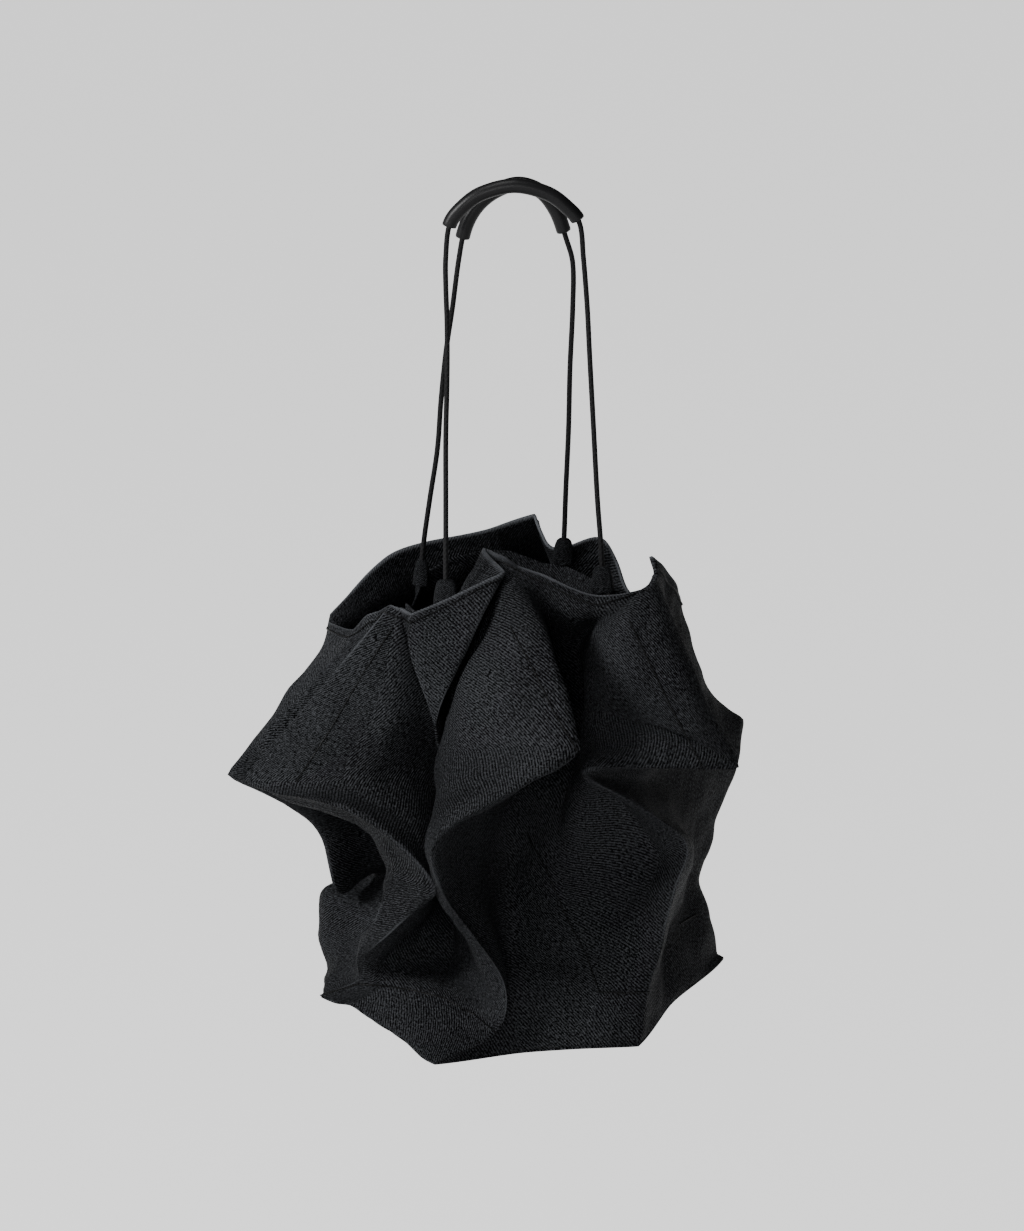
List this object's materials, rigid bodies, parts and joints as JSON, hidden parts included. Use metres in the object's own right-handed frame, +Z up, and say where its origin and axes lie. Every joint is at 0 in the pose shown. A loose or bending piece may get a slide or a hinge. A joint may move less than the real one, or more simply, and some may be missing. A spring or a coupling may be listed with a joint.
{
  "type": "pleated bag",
  "caption": "Soft bag of deeply folded dark cloth with a ruffled open mouth, a drawstring casing and two cord handles that run through leather grips",
  "frame": {"origin": "mount hang_point: the point under the arch of the two grips, where a hook or a hand holds the bag", "axes": "+Z up, the front that the picture shows faces -Y, +X to the viewer's right"},
  "size_m": [0.41, 0.4366, 0.6698],
  "materials": {
    "cloth": "matte black twill",
    "braid": "black braided cord",
    "leather": "satin black leather"
  },
  "bodies": {
    "root": {"bag_body": "cloth", "base_panel": "cloth", "drawstring_casing": "cloth", "front_left_tab": "cloth", "front_right_tab": "cloth", "back_left_tab": "cloth", "back_right_tab": "cloth", "front_cord": "braid", "back_cord": "braid", "front_grip": "leather", "back_grip": "leather"}
  },
  "joints": []
}
